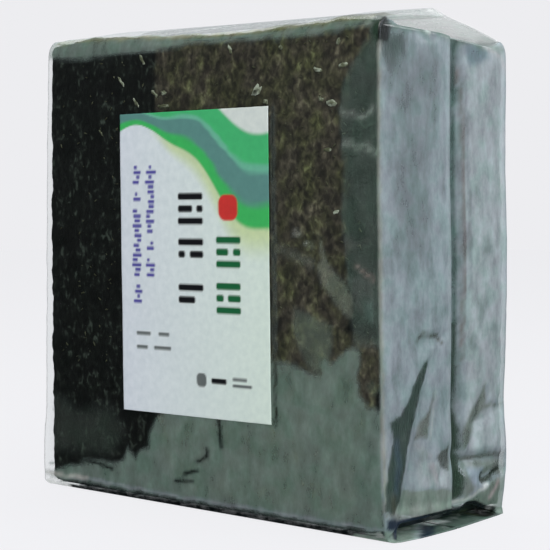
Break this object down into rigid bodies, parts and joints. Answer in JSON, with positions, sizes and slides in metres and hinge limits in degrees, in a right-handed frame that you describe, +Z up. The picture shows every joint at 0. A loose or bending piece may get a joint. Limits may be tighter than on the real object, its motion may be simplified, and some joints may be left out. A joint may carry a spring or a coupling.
{
  "type": "clear film pack of seasoned nori sheets",
  "caption": "Upright block of seasoned nori sheets in a clear side-gusseted film bag with a gabled top, folded base flaps and a paper label on the front.",
  "frame": {"origin": "middle of the flat base that the pack stands on", "axes": "+X along the front from left to right, +Y towards the back, +Z up"},
  "size_m": [0.2134, 0.0897, 0.218],
  "materials": {
    "bag_film": "clear polypropylene film over dark green-black laver",
    "nori": "pressed and roasted laver, mottled, slightly glossy with oil",
    "label_paper": null
  },
  "bodies": {
    "root": {"bag": "bag_film", "label": "label_paper"}
  },
  "joints": []
}
